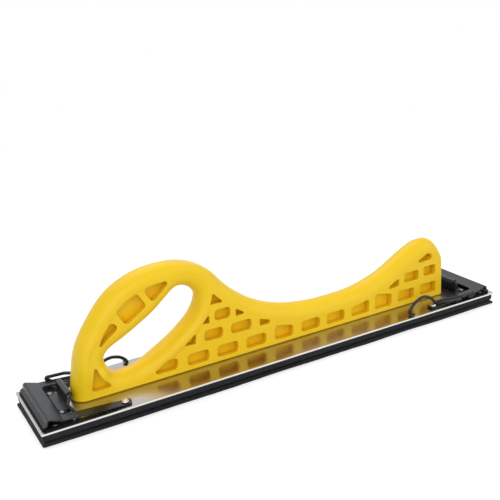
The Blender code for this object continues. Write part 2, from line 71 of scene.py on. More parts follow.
# %% [markdown]
# The photograph was taken from the loop end of the handle, low over the plate, with the
# block running away to the right. Its perspective was solved from the plate's corners and
# the handle's foot: an ordinary 55 mm lens on a 36 mm sensor, turned 29 degrees from the
# block's side, looking 19 degrees down and rolled by 3 degrees. The three columns of the
# matrix are the camera's right, up and backward directions.

# %% Camera
plate_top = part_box("base_plate")[1].z
camera_place = Vector((-0.3051, -0.5016, 0.2809 + plate_top))
camera_axes = Matrix(((0.86413, 0.20180, -0.46105),
                      (-0.50112, 0.26007, -0.82538),
                      (-0.04665, 0.94427, 0.32585)))
focal_pixels, image_pixels = 768.166, 500
lens_data = bpy.data.cameras.new("studio_camera")
lens_data.sensor_width = 36.0
lens_data.lens = focal_pixels / image_pixels * lens_data.sensor_width
camera = bpy.data.objects.new("studio_camera", lens_data)
camera.matrix_world = Matrix.Translation(camera_place) @ camera_axes.to_4x4()
scene_objects.link(camera)
bpy.context.scene.camera = camera
print("lens in mm", round(lens_data.lens, 2))

# %% [markdown]
# Materials here are written as short lists of nodes. One helper adds a node, sets its
# inputs and joins them: a socket given as a value becomes a link, a number becomes the
# socket's own value. Two more give the result of a Math node, and of a Map Range node
# that turns one range of a value into another.

# %% Node helpers


def add_node(tree, kind, inputs=None, **settings):
    """A node of the kind, with its settings made and its inputs set or joined."""
    node = tree.nodes.new("ShaderNode" + kind)
    for key, value in settings.items():
        setattr(node, key, value)
    for key, value in (inputs or {}).items():
        if isinstance(value, bpy.types.NodeSocket):
            tree.links.new(value, node.inputs[key])
        else:
            node.inputs[key].default_value = value
    return node


def combine(tree, operation, first, second):
    return add_node(tree, "Math", {0: first, 1: second}, operation=operation).outputs[0]


def spread(tree, value, low, high, start=0.3, stop=0.7):
    """The value's range from start to stop turned into the one from low to high."""
    return add_node(tree, "MapRange", {"Value": value, "From Min": start, "From Max": stop,
                                       "To Min": low, "To Max": high}).outputs[0]


def new_material(name):
    material = bpy.data.materials.new(name)
    material.use_nodes = True
    material.node_tree.nodes.clear()
    print("material", name)
    return material, material.node_tree


print("node helpers: add_node, combine, spread, new_material")

# %% [markdown]
# The background of the photograph is plain white. The floor is a large pale sheet, and
# both it and the world turn white for the camera and for reflections through Light Path,
# while the light that they throw on the block stays plain. The floor still takes the
# block's soft shadow, because part of what the camera sees of it is lit by the lamps.

# %% Floor
pure_white = (1, 1, 1, 1)
floor_edge = 9.0


def seen_or_mirrored(tree):
    """1 where the camera or a mirror looks at a surface, 0 for the light it throws."""
    path = add_node(tree, "LightPath").outputs
    return combine(tree, "MAXIMUM", path["Is Camera Ray"], path["Is Glossy Ray"])


floor_paint, tree = new_material("floor_paint")
matte = add_node(tree, "BsdfDiffuse", {"Color": (0.62, 0.62, 0.62, 1)})
glow = add_node(tree, "Emission", {"Color": pure_white, "Strength": 0.55})
near = add_node(tree, "AddShader", {0: matte.outputs[0], 1: glow.outputs[0]})
away = add_node(tree, "VectorMath", {0: add_node(tree, "NewGeometry").outputs["Position"]},
                operation="LENGTH")
fade = spread(tree, away.outputs["Value"], 0.0, 1.0, 0.45, 1.1)
white = add_node(tree, "Emission", {"Color": pure_white, "Strength": 1.0})
both = add_node(tree, "MixShader", {0: fade, 1: near.outputs[0], 2: white.outputs[0]})
mixed = add_node(tree, "MixShader", {0: seen_or_mirrored(tree), 1: matte.outputs[0],
                                     2: both.outputs[0]})
add_node(tree, "OutputMaterial", {"Surface": mixed.outputs[0]})
floor_mesh = bpy.data.meshes.new("studio_floor")
floor_mesh.from_pydata([(-floor_edge, -floor_edge, 0), (floor_edge, -floor_edge, 0),
                        (floor_edge, floor_edge, 0), (-floor_edge, floor_edge, 0)], [],
                       [(0, 1, 2, 3)])
floor_mesh.materials.append(floor_paint)
floor = bpy.data.objects.new("studio_floor", floor_mesh)
scene_objects.link(floor)
print("floor in m", round(floor.dimensions.x, 1))

# %% World
world = bpy.data.worlds.new("studio_world")
world.use_nodes = True
bpy.context.scene.world = world
tree = world.node_tree
tree.nodes.clear()
air = add_node(tree, "Background", {"Color": pure_white, "Strength": 0.46})
white = add_node(tree, "Background", {"Color": pure_white, "Strength": 1.0})
mixed = add_node(tree, "MixShader", {0: seen_or_mirrored(tree), 1: air.outputs[0],
                                     2: white.outputs[0]})
add_node(tree, "OutputWorld", {"Surface": mixed.outputs[0]})
bpy.context.scene.view_settings.view_transform = "Standard"
print("world nodes", len(tree.nodes))

# %% [markdown]
# Three broad soft lamps stand round the block, as in a product studio: the key high on
# the camera's left, a fill on the right, and one overhead behind the block for the rim.

# %% Lamps
aim_point = Vector((0, 0, 0.03))
lamp_plan = {  # the place and width in metres, and the power in watts
    "key_lamp": ((-0.85, -1.6, 1.0), 1.6, 17),
    "fill_lamp": ((1.3, -1.4, 0.8), 1.6, 8),
    "back_lamp": ((0.0, 0.9, 1.8), 1.8, 17)}
for name, (place, width, power) in lamp_plan.items():
    lamp = bpy.data.lights.new(name, "AREA")
    lamp.size = width
    lamp.energy = power
    obj = bpy.data.objects.new(name, lamp)
    obj.location = place
    aim = aim_point - Vector(place)
    obj.rotation_euler = aim.to_track_quat("-Z", "Y").to_euler()
    scene_objects.link(obj)
print("lamps", list(lamp_plan))

# %% [markdown]
# ## Finishes
#
# Every material starts at the same three questions: how fine is its grain, how much has
# it been handled, and where has it been rubbed. Each answer is a node group, built once
# and placed in the materials with its own numbers. The first group is the grain of a
# moulded or sprayed skin: a slow drift of tone and a fine ripple for the Bump node.

# %% Grain group


def new_group(name, inputs, outputs):
    """A shader group with number sockets, and the sockets to wire it up by."""
    group = bpy.data.node_groups.new(name, "ShaderNodeTree")
    for label, value in inputs.items():
        socket = group.interface.new_socket(label, in_out="INPUT",
                                            socket_type="NodeSocketFloat")
        socket.default_value = value
    for label in outputs:
        group.interface.new_socket(label, in_out="OUTPUT", socket_type="NodeSocketFloat")
    start = group.nodes.new("NodeGroupInput").outputs
    end = group.nodes.new("NodeGroupOutput").inputs
    return group, start, end


def clouds(tree, spot, scale, detail, roughness=0.5):
    """The value of a noise texture."""
    return add_node(tree, "TexNoise", {"Vector": spot, "Scale": scale, "Detail": detail,
                                       "Roughness": roughness}).outputs["Fac"]


skin_grain, start, end = new_group(
    "skin_grain", {"Ripple Scale": 900.0, "Drift Scale": 30.0}, ["Ripple", "Drift"])
spot = add_node(skin_grain, "TexCoord").outputs["Object"]
ripple = clouds(skin_grain, spot, start["Ripple Scale"], 3.0, 0.55)
drift = clouds(skin_grain, spot, start["Drift Scale"], 2.0)
skin_grain.links.new(ripple, end["Ripple"])
skin_grain.links.new(drift, end["Drift"])
print("group", skin_grain.name)

# %% [markdown]
# The second group is the film that hands and dust leave on a smooth surface. It is patchy,
# with a few soft streaks along the block, and it is used to dull the gloss here and there.

# %% Handling group
hand_film, start, end = new_group("hand_film", {"Patch Scale": 22.0, "Streak Scale": 260.0},
                                  ["Patches", "Streaks"])
spot = add_node(hand_film, "TexCoord").outputs["Object"]
long_spot = add_node(hand_film, "VectorMath", {0: spot, 1: (0.035, 1.0, 1.0)},
                     operation="MULTIPLY")
patches = clouds(hand_film, spot, start["Patch Scale"], 4.0, 0.6)
streaks = clouds(hand_film, long_spot.outputs[0], start["Streak Scale"], 5.0, 0.7)
hand_film.links.new(spread(hand_film, patches, 0.0, 1.0, 0.42, 0.68), end["Patches"])
hand_film.links.new(streaks, end["Streaks"])
print("group", hand_film.name)

# %% [markdown]
# The third group is wear along edges. The clip's sheet pieces carry an attribute named
# edge, which is 1 on their sharp corners and 0 on their flats. The group breaks that line
# up with noise, so that the bare metal shows in short worn bits, not as a drawn outline.
# On the pressed tab of each clip strip the attribute marks the sloped sides instead, and
# there the lighter metal is a painted highlight.

# %% Wear and highlight group
edge_wear_and_highlight, start, end = new_group("edge_wear_and_highlight", {"Wear": 0.5, "Break Up": 420.0},
                                    ["Mask"])
near_edge = add_node(edge_wear_and_highlight, "Attribute", attribute_name="edge")
spot = add_node(edge_wear_and_highlight, "TexCoord").outputs["Object"]
broken = combine(edge_wear_and_highlight, "MULTIPLY", near_edge.outputs["Fac"],
                 clouds(edge_wear_and_highlight, spot, start["Break Up"], 3.0))
edge_mask = spread(edge_wear_and_highlight, broken, 0.0, 1.0, 0.42, 0.62)
edge_wear_and_highlight.links.new(combine(edge_wear_and_highlight, "MULTIPLY", edge_mask, start["Wear"]),
                      end["Mask"])
print("group", edge_wear_and_highlight.name)

# %% [markdown]
# Small helpers: one places a group in a material, one blends two colours by a mask, one
# adds a bump of a given depth in metres, and one closes the material with its shader.

# %% Material helpers


def place_group(tree, group, **values):
    """Put the group in a material with its own values, and give its outputs."""
    node = tree.nodes.new("ShaderNodeGroup")
    node.node_tree = group
    for label, value in values.items():
        node.inputs[label.replace("_", " ")].default_value = value
    return node.outputs


def blend(tree, mask, low, high):
    """One colour where the mask is 0 and the other where it is 1."""
    mix = add_node(tree, "Mix", {0: mask}, data_type="RGBA")
    for socket, color in ((mix.inputs[6], low), (mix.inputs[7], high)):
        if isinstance(color, bpy.types.NodeSocket):
            tree.links.new(color, socket)
        else:
            socket.default_value = (*color, 1)
    return mix.outputs[2]


def bumps(tree, height, depth, strength, under=None):
    """A normal bent by the height, on top of another one where that is given."""
    inputs = {"Height": height, "Distance": depth, "Strength": strength}
    if under:
        inputs["Normal"] = under
    return add_node(tree, "Bump", inputs).outputs[0]


def finish(tree, inputs):
    shader = add_node(tree, "BsdfPrincipled", inputs)
    add_node(tree, "OutputMaterial", {"Surface": shader.outputs[0]})


print("material helpers: place_group, blend, bumps, finish")

# %% [markdown]
# The handle is one moulding in bright yellow plastic, most likely nylon or polypropylene.
# Such a skin is smooth but not polished: broad soft highlights, a very faint orange peel
# from the mould, and a slightly deeper yellow where the colour batch has drifted.

# %% Yellow moulding
yellow_moulding, tree = new_material("yellow_moulding")
grain = place_group(tree, skin_grain, Ripple_Scale=700.0, Drift_Scale=16.0)
film = place_group(tree, hand_film, Patch_Scale=26.0)
tone = blend(tree, spread(tree, grain["Drift"], 0.0, 1.0), (0.90, 0.575, 0.008),
             (0.93, 0.625, 0.014))
finish(tree, {"Base Color": tone,
              "Roughness": spread(tree, film["Patches"], 0.30, 0.40, 0.0, 1.0),
              "Specular IOR Level": 0.28,
              "Normal": bumps(tree, grain["Ripple"], 0.00004, 0.35)})

# %% [markdown]
# The plate is aluminium, polished along its length. In the photograph it mirrors the
# handle in a golden brown, darker than the handle itself, so the metal takes away about
# half the light. Fine lines along the block blur the mirror image a little, and a trace
# of grey haze lies over it, which is why Metallic stays just under 1. The cut edges get a
# brighter colour than the faces, a painted highlight for the white that they mirror, and
# the attribute named edge tells the material where they are.

# %% Polished plate
polished_plate, tree = new_material("polished_plate")
film = place_group(tree, hand_film, Patch_Scale=18.0, Streak_Scale=900.0)
tone = blend(tree, spread(tree, film["Streaks"], 0.0, 1.0), (0.43, 0.405, 0.40),
             (0.51, 0.485, 0.48))
# The brighter colour on the cut edges is a painted highlight for the white they mirror.
cut = add_node(tree, "Attribute", attribute_name="edge")
tone = blend(tree, cut.outputs["Fac"], tone, (0.74, 0.71, 0.67))
dull = combine(tree, "ADD", spread(tree, film["Patches"], 0.12, 0.22, 0.0, 1.0),
               spread(tree, film["Streaks"], 0.0, 0.07))
finish(tree, {"Base Color": tone, "Metallic": 0.975, "Roughness": dull,
              "Normal": bumps(tree, film["Streaks"], 0.00002, 0.25)})

# %% [markdown]
# The cushion is a closed-cell foam. Its cut sides show the opened cells as a fine pitted
# grain, which Voronoi cells give, with no gloss at all.

# %% Black foam
black_foam, tree = new_material("black_foam")
spot = add_node(tree, "TexCoord").outputs["Object"]
cells = add_node(tree, "TexVoronoi", {"Vector": spot, "Scale": 1100.0})
grain = place_group(tree, skin_grain, Ripple_Scale=2200.0, Drift_Scale=40.0)
tone = blend(tree, spread(tree, cells.outputs["Distance"], 0.0, 1.0, 0.1, 0.8),
             (0.012, 0.0125, 0.015), (0.030, 0.031, 0.036))
pits = bumps(tree, cells.outputs["Distance"], 0.00022, 0.8)
finish(tree, {"Base Color": tone, "Roughness": 0.88,
              "Specular IOR Level": 0.15,
              "Normal": bumps(tree, grain["Ripple"], 0.00006, 0.5, pits)})

# %% [markdown]
# The face below the foam is a smooth sheet that takes the sticky abrasive. It is a little
# shinier than the foam, with a faint leather-like grain and dusty scuffs.

# %% Face sheet
face_sheet, tree = new_material("face_sheet")
grain = place_group(tree, skin_grain, Ripple_Scale=1500.0, Drift_Scale=60.0)
film = place_group(tree, hand_film, Patch_Scale=45.0)
tone = blend(tree, film["Patches"], (0.004, 0.0042, 0.005), (0.009, 0.0095, 0.011))
finish(tree, {"Base Color": tone, "Specular IOR Level": 0.2,
              "Roughness": spread(tree, grain["Drift"], 0.42, 0.62),
              "Normal": bumps(tree, grain["Ripple"], 0.00008, 0.5)})

# %% [markdown]
# The clips are bent from spring steel with a baked black coat. The coat is satin with a
# slight orange peel, and the steel shines through where edges rub on paper and wire.

# %% Black coats


def black_coat(name, color, roughness, edge_amount, shine=0.4):
    material, tree = new_material(name)
    grain = place_group(tree, skin_grain, Ripple_Scale=1300.0, Drift_Scale=45.0)
    wear_and_highlight = place_group(tree, edge_wear_and_highlight, Wear=edge_amount)
    lighter = tuple(v * 1.8 for v in color)
    # The edge mask gives worn metal on the clamps and a painted highlight on the strips'
    # tabs.
    tone = blend(tree, wear_and_highlight["Mask"], blend(tree, grain["Drift"], color, lighter),
                 (0.30, 0.30, 0.31))
    finish(tree, {"Base Color": tone, "Specular IOR Level": shine,
                  "Specular Tint": (0.86, 0.94, 1.0, 1),
                  "Metallic": wear_and_highlight["Mask"],
                  "Roughness": spread(tree, grain["Drift"], roughness - 0.05,
                                      roughness + 0.06),
                  "Normal": bumps(tree, grain["Ripple"], 0.00003, 0.5)})
    return material


coated_sheet = black_coat("coated_sheet", (0.0050, 0.0055, 0.0070), 0.27, 0.5)
coated_wire = black_coat("coated_wire", (0.0045, 0.0050, 0.0055), 0.26, 0.3)
# A lighter, shinier copy of the coat, painted light, and a darker, duller one, painted
# shade, both for the clip strips.
painted_light_coat = black_coat("painted_light_coat", (0.0150, 0.0160, 0.0180), 0.30, 0.6)
painted_shade_coat = black_coat("painted_shade_coat", (0.0030, 0.0032, 0.0036), 0.42, 0.1, shine=0.14)

# %% [markdown]
# The rivets and screws are plated steel: bright on the arms, with a slightly frosted skin
# from the setting tool and a trace of tarnish. The small rivets that hold the clip to the
# plate look much darker in the photograph, where they mirror the black clip, so they
# get a darker, duller copy of the plating, which is painted shade.

# %% Plated steel


def steel_finish(name, low, high, roughness):
    material, tree = new_material(name)
    grain = place_group(tree, skin_grain, Ripple_Scale=2600.0, Drift_Scale=300.0)
    tone = blend(tree, spread(tree, grain["Drift"], 0.0, 1.0), low, high)
    finish(tree, {"Base Color": tone, "Metallic": 1.0,
                  "Roughness": spread(tree, grain["Ripple"], roughness, roughness + 0.16),
                  "Normal": bumps(tree, grain["Ripple"], 0.00003, 0.4)})
    return material


plated_steel = steel_finish("plated_steel", (0.50, 0.45, 0.40), (0.72, 0.66, 0.60), 0.22)
# A darker, duller copy of the plating: painted shade for the small rivets.
painted_shade_steel = steel_finish("painted_shade_steel", (0.10, 0.10, 0.105), (0.24, 0.235, 0.23), 0.26)
print("materials", len(bpy.data.materials))

# %% [markdown]
# ## Shapes
#
# The frame's own nodes are plain where a few faces were enough. Most pieces seen close up
# are made again here, on the same sizes, with rounded bends and edges. All of them need
# a smooth line through a few points, and corners rounded to a radius.

# %% Smooth lines


def smooth_line(knots, steps, closed=False):
    """Points on a smooth curve through the knots."""
    count = len(knots)
    line = []
    for i in range(count if closed else count - 1):
        places = [i - 1, i, i + 1, i + 2]
        if closed:
            places = [k % count for k in places]
        before, start, end, after = [Vector(knots[min(max(k, 0), count - 1)])
                                     for k in places]
        for step in range(steps):
            t = step / steps
            line.append(0.5 * (2 * start + (end - before) * t
                        + (2 * before - 5 * start + 4 * end - after) * t ** 2
                        + (3 * start - before - 3 * end + after) * t ** 3))
    if not closed:
        line.append(Vector(knots[-1]))
    return line


print("points on a smooth line", len(smooth_line([(0, 0), (1, 0), (1, 1)], 4)))

# %% Rounded corners
side_share = 0.46  # the most of a side that one corner may use
least_half = 0.05  # half of the sharpest corner, in radians


def round_corners(points, radius, steps, closed=True):
    """The polygon's corners replaced by arcs, with the same number of points on each."""
    line = []
    count = len(points)
    for i, point in enumerate(points):
        corner = Vector(point)
        if not closed and i in (0, count - 1):
            line.append(corner)
            continue
        back = Vector(points[i - 1]) - corner
        ahead = Vector(points[(i + 1) % count]) - corner
        half = back.angle(ahead) / 2
        reach = min(radius / math.tan(max(half, least_half)),
                    side_share * back.length, side_share * ahead.length)
        enter = corner + back.normalized() * reach
        leave = corner + ahead.normalized() * reach
        weight = math.sin(half)
        for step in range(steps + 1):
            t = step / steps
            shares = [(1 - t) ** 2, 2 * t * (1 - t) * weight, t ** 2]
            line.append((enter * shares[0] + corner * shares[1] + leave * shares[2])
                        / sum(shares))
    return line


print("corner points", len(round_corners([(0, 0), (1, 0), (1, 1)], 0.1, 4)))

# %% Closed outlines


def circle(sides):
    """The angles of the corners of a regular ring."""
    return [2 * math.pi * k / sides for k in range(sides)]


def sides_of(points):
    """Each point of a closed line with the next one."""
    return list(zip(points, points[1:] + points[:1]))


def grow_outline(points, amount):
    """The polygon with its sides moved outward by the size of the amount.

    A negative amount moves them outward too.
    """
    sides = sides_of(points)
    turn = sum(a.x * b.y - b.x * a.y for a, b in sides)
    tiny, least_open = 1e-18, 0.25
    grown = []
    for (a, b), (c, d) in zip([sides[-1]] + sides[:-1], sides):
        first, second = (b - a).normalized(), (d - c).normalized()
        out_1 = Vector((first.y, -first.x)) * math.copysign(amount, turn)
        out_2 = Vector((second.y, -second.x)) * math.copysign(amount, turn)
        open_by = 1 + out_1.dot(out_2) / max(amount ** 2, tiny)
        grown.append(b + (out_1 + out_2) / max(open_by, least_open) if amount else b)
    return grown


unit_square = [Vector(p) for p in ((0, 0), (1, 0), (1, 1), (0, 1))]
print("unit square grown by 1", [tuple(p) for p in grow_outline(unit_square, 1)])

# %% [markdown]
# Most pieces are rows of points skinned together, like the ribs of a boat. The skin helper
# joins the rows with quads, and the place helper gives the mesh its name, its finish and
# the body it moves with, and hides the node that it stands for. A third helper cuts one
# mesh with another, for the pockets and for what is stamped out of sheet.

# %% Skin


def join_rings(shape, near, far, around=True):
    """Quads between two rows of vertices."""
    for k in range(len(near) if around else len(near) - 1):
        n = (k + 1) % len(near)
        shape.faces.new((near[k], near[n], far[n], far[k]))


def skin(shape, rows, ends_too=True, around=True):
    """Join rows of points with quads; each row is a closed ring unless around is off."""
    rings = [[shape.verts.new(point) for point in row] for row in rows]
    for near, far in zip(rings, rings[1:]):
        join_rings(shape, near, far, around)
    if ends_too:
        shape.faces.new(rings[0][::-1])
        shape.faces.new(rings[-1])
    return rings


def as_mesh(shape, name, sharp=35, smooth=True):
    """The shape as a mesh that shades smoothly up to the sharp angle in degrees."""
    bmesh.ops.recalc_face_normals(shape, faces=shape.faces)
    mesh = bpy.data.meshes.new(name)
    shape.to_mesh(mesh)
    shape.free()
    if smooth:
        mesh.shade_smooth()
        mesh.set_sharp_from_angle(angle=math.radians(sharp))
    return mesh


print("mesh helpers: join_rings, skin, as_mesh")

# %% Place and cut


def place_piece(name, mesh, material, stands_for, body="root"):
    """An object of the mesh, tied to its body, with the node that it stands for hidden."""
    mesh.materials.clear()
    mesh.materials.append(material)
    piece = bpy.data.objects.new(name, mesh)
    scene_objects.link(piece)
    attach(piece, body)
    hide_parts(stands_for)
    return piece


def even_shading(piece):
    """Let the large flat faces rule the shading beside a rounded edge."""
    modifier = piece.modifiers.new("even_shading", "WEIGHTED_NORMAL")
    modifier.keep_sharp = True
    modifier.weight = 80
    return piece


def cut_mesh(mesh, cutter_mesh, operation="DIFFERENCE"):
    """The mesh after a Boolean with the cutter; both helper objects are removed."""
    cutter = bpy.data.objects.new("cutter", cutter_mesh)
    body = bpy.data.objects.new("cut_body", mesh)
    for obj in (cutter, body):
        scene_objects.link(obj)
    modifier = body.modifiers.new("cut", "BOOLEAN")
    modifier.operation = operation
    modifier.solver = "EXACT"
    modifier.object = cutter
    depsgraph = bpy.context.evaluated_depsgraph_get()
    result = bpy.data.meshes.new_from_object(body.evaluated_get(depsgraph))
    for obj in (cutter, body):
        bpy.data.objects.remove(obj)
    return result


print("piece helpers: place_piece, even_shading, cut_mesh")

# %% [markdown]
# ## Handle
#
# The real handle is one injection moulding. Its side view was read from the photograph
# with the solved camera and is kept as shares of its length and height: the crest runs
# from the rear foot over the loop, down the saddle and up the horn, and the throat is the
# hand hole. Round the loop the grip bulges a little past the flat side, which leaves the
# soft dark line that the photograph shows beside the pockets.

# %% Handle outline
handle_rear, handle_front = -0.181125, 0.171625
handle_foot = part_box("handle")[0].z
handle_height = 0.0898
half_thickness = 0.0103
handle_length = handle_front - handle_rear
crest_steps, crest_rounds = 8, 30
throat_steps, throat_rounds = 10, 60
crest_shares = [
    (0.000, 0.000), (0.008, 0.226), (0.029, 0.496), (0.083, 0.789), (0.142, 0.939),
    (0.213, 0.997), (0.280, 0.955), (0.331, 0.848), (0.380, 0.642), (0.440, 0.465),
    (0.513, 0.346), (0.594, 0.292), (0.657, 0.286), (0.729, 0.304), (0.806, 0.387),
    (0.870, 0.515), (0.916, 0.600), (0.940, 0.619), (0.965, 0.611), (0.984, 0.554),
    (0.994, 0.465), (0.997, 0.370), (1.000, 0.000)]
throat_shares = [
    (0.079, 0.264), (0.102, 0.139), (0.156, 0.164), (0.208, 0.260), (0.250, 0.366),
    (0.284, 0.490), (0.297, 0.616), (0.290, 0.699), (0.271, 0.753), (0.249, 0.758),
    (0.2265, 0.695), (0.190, 0.582), (0.130, 0.447), (0.087, 0.359)]


def on_handle(share):
    """A point given in shares of the handle's length and height, as (x, z)."""
    return Vector((handle_rear + share[0] * handle_length, share[1] * handle_height))


def faired(line, rounds, closed=False):
    """Take the small waves out of a line without shrinking it; open ends stay."""
    smooth_pull, regrow_pull = 0.5, -0.53
    for pull in (smooth_pull, regrow_pull) * rounds:
        moved = [p.lerp((line[i - 1] + line[(i + 1) % len(line)]) / 2, pull)
                 for i, p in enumerate(line)]
        line = moved if closed else line[:1] + moved[1:-1] + line[-1:]
    return line


crest = faired(smooth_line([on_handle(s) for s in crest_shares], crest_steps),
               crest_rounds)
throat = faired(smooth_line([on_handle(s) for s in throat_shares], throat_steps,
                            closed=True), throat_rounds, closed=True)
print("crest points", len(crest), "throat points", len(throat))

# %% [markdown]
# Each point of an outline becomes one rib across the rim: a quarter round from the middle
# of the grip out to the flat side, on both sides. The radius is as large as the bar
# between crest and throat allows, and it shrinks on the horn's front, whose edges are
# sharper in the photograph.

# %% Rim sizes
rim_depth = 0.0102
crest_reach, throat_reach = 0.0105, 0.0110
front_reach = 0.0016
front_start, front_fade = 0.9, (0.36, 0.60)  # shares of the handle's length and height
least_flat = 0.0010
grip_bulge = 0.0009
bulge_fall, bulge_room = 0.0038, 0.0030
# Where the bulge starts and stops, in shares of the handle's length and height.
loop_back, back_rise, back_fade = 0.1, (0.08, 0.30), (0.12, 0.22)
bar_foot, bar_run, bar_blend = (0.08, 0.25), (0.21, 0.45), (-0.010, 0.012)
throat_rise, throat_fade = (0.14, 0.22), (0.5, 0.72)


def ramp(value, low, high):
    """0 up to low, 1 from high on, and a smooth rise between them."""
    t = min(max((value - low) / (high - low), 0.0), 1.0)
    return t * t * (3 - 2 * t)


def crest_bulge(point):
    """Full up the back of the loop, fading out before its top."""
    share = (point.x - handle_rear) / handle_length
    rise = ramp(point.y / handle_height, *back_rise) if share < loop_back else 1.0
    return rise * (1 - ramp(share, *back_fade))


def throat_bulge(point):
    """Full along the throat's lower front side, none beside the loop's bar."""
    share = (point.x - handle_rear) / handle_length
    height = point.y / handle_height
    below_bar = (share - bar_foot[0]) * bar_run[1] - (height - bar_foot[1]) * bar_run[0]
    return (ramp(below_bar, *bar_blend) * ramp(height, *throat_rise)
            * (1 - ramp(height, *throat_fade)))


print("bulging points", sum(crest_bulge(p) > 0.5 for p in crest),
      sum(throat_bulge(p) > 0.5 for p in throat))

# %% Rim ribs


def rim_reach(point):
    """How far the rim runs in from the crest at this point."""
    wall = min((point - other).length for other in throat)
    full = min(crest_reach + bulge_room * crest_bulge(point),
               wall - throat_reach - least_flat)
    if point.x < handle_rear + front_start * handle_length:
        return full
    return front_reach + (full - front_reach) * ramp(point.y / handle_height, *front_fade)


def rib(point, normal, reach, bulge_share):
    """One row of points across the rim, from one flat side to the other."""
    side = []
    turn_steps, fall_steps = 10, 6
    hair = 0.00002  # keeps the points of the fall apart from the flat side's edge
    depth = min(reach, rim_depth)
    fall, bulge = bulge_fall * bulge_share, grip_bulge * bulge_share
    for k in range(turn_steps + 1):
        angle = math.pi / 2 * k / turn_steps
        side.append(((reach - fall) * (1 - math.cos(angle)),
                     half_thickness - depth + (depth + bulge) * math.sin(angle)))
    for k in range(1, fall_steps + 1):
        t = k / fall_steps
        side.append((reach - fall + fall * t + hair * k,
                     half_thickness + bulge * (1 - ramp(t, 0, 1))))
    row = [(inset, -across) for inset, across in reversed(side)] + side
    return [((point - normal * inset).x, across, (point - normal * inset).y)
            for inset, across in row]


def outward(path, closed):
    """The outward direction at each point of an outline."""
    normals = []
    for i in range(len(path)):
        before = path[i - 1] if closed or i else path[0]
        after = path[(i + 1) % len(path)] if closed else path[min(i + 1, len(path) - 1)]
        along = (after - before).normalized()
        normals.append(Vector((-along.y, along.x)))
    if not closed:
        normals[0], normals[-1] = Vector((-1, 0)), Vector((1, 0))
    return normals


crest_ribs = [rib(p, n, rim_reach(p), crest_bulge(p))
              for p, n in zip(crest, outward(crest, False))]
throat_ribs = [rib(p, n, throat_reach, throat_bulge(p))
               for p, n in zip(throat, outward(throat, True))]
print("points a rib", len(crest_ribs[0]))

# %% [markdown]
# The ribs are skinned, each flat side is filled between the two rims, and the foot is
# closed. The foot is drawn in a little all round: that leaves the fine dark line that runs
# between the handle and the plate.

# %% Handle body
foot_gap, foot_blend = 0.0007, 0.008
crest_ribs = [[(x, y, z + foot_gap * (1 - ramp(z, 0.0, foot_blend))) for x, y, z in row]
              for row in crest_ribs]
shape = bmesh.new()
outer = skin(shape, crest_ribs, ends_too=False, around=False)
inner = skin(shape, throat_ribs, ends_too=False, around=False)
join_rings(shape, inner[-1], inner[0], around=False)
for end in (0, -1):
    rim_edges = []
    for loop in ([row[end] for row in outer], [row[end] for row in inner]):
        for a, b in sides_of(loop):
            rim_edges.append(shape.edges.get((a, b)) or shape.edges.new((a, b)))
    bmesh.ops.triangle_fill(shape, use_beauty=True, edges=rim_edges)
middle = (handle_rear + handle_front) / 2
narrow = (1 - 2 * foot_gap / handle_length, 1 - foot_gap / half_thickness)
foot = outer[0] + outer[-1][::-1]
upper = [shape.verts.new((middle + (v.co.x - middle) * narrow[0], v.co.y * narrow[1],
                          foot_gap)) for v in foot]
lower = [shape.verts.new((v.co.x, v.co.y, 0)) for v in upper]
join_rings(shape, foot, upper)
join_rings(shape, upper, lower)
shape.faces.new(lower)
handle_body = as_mesh(shape, "handle_body")
print("handle body faces", len(handle_body.polygons))

# %% [markdown]
# The pockets keep the walls even so that the moulding cools without sinking. They are cut
# with one plug each: a rounded outline that flares at the mouth. A real mould's plug then
# narrows on the way in. This one widens, by 0.6 mm below the mouth and by up to 3.1 mm at
# the floor, because the growing helper moves sides outward for negative amounts too. The
# bricks near the loop have rounder corners than those near the horn.

# %% Pocket outlines
brick_rows = [
    (0.042, 0.150, [(0.258, 0.310), (0.332, 0.384), (0.406, 0.458), (0.557, 0.609),
                    (0.630, 0.682)]),
    (0.054, 0.165, [(0.852, 0.904)]), (0.058, 0.170, [(0.925, 0.977)]),
    (0.226, 0.326, [(0.302, 0.348), (0.369, 0.421)]),
    (0.241, 0.342, [(0.871, 0.918)]), (0.252, 0.354, [(0.935, 0.974)]),
    (0.393, 0.493, [(0.330, 0.369)])]
corner_pockets = [
    [(0.049, 0.264), (0.054, 0.257), (0.058, 0.202), (0.066, 0.141), (0.081, 0.091),
     (0.079, 0.064), (0.037, 0.062)],
    [(0.181, 0.083), (0.209, 0.152), (0.236, 0.151), (0.231, 0.050), (0.183, 0.050)],
    [(0.483, 0.189), (0.533, 0.143), (0.532, 0.040), (0.482, 0.040)],
    [(0.705, 0.142), (0.758, 0.174), (0.758, 0.044), (0.705, 0.045)],
    [(0.784, 0.204), (0.830, 0.166), (0.830, 0.044), (0.778, 0.044), (0.777, 0.174)],
    [(0.254, 0.241), (0.281, 0.319), (0.279, 0.229)],
    [(0.444, 0.293), (0.471, 0.258), (0.468, 0.227), (0.444, 0.227)],
    [(0.811, 0.219), (0.853, 0.305), (0.854, 0.227)],
    [(0.316, 0.459), (0.300, 0.397), (0.316, 0.387)],
    [(0.384, 0.452), (0.404, 0.395), (0.383, 0.386)],
    [(0.907, 0.414), (0.943, 0.487), (0.956, 0.482), (0.962, 0.440), (0.957, 0.420)],
    [(0.329, 0.646), (0.351, 0.554), (0.322, 0.556)],
    [(0.096, 0.632), (0.110, 0.561), (0.085, 0.492), (0.062, 0.419), (0.076, 0.533)],
    [(0.107, 0.705), (0.132, 0.775), (0.156, 0.820), (0.175, 0.690),
     (0.151, 0.626), (0.126, 0.566)],
    [(0.170, 0.839), (0.199, 0.859), (0.233, 0.862), (0.209, 0.774), (0.189, 0.706)]]
lean_at_rear, lean_change = 0.115, 0.16  # the bricks lean less and less towards the horn
pockets = [[on_handle(s) for s in shares] for shares in corner_pockets]
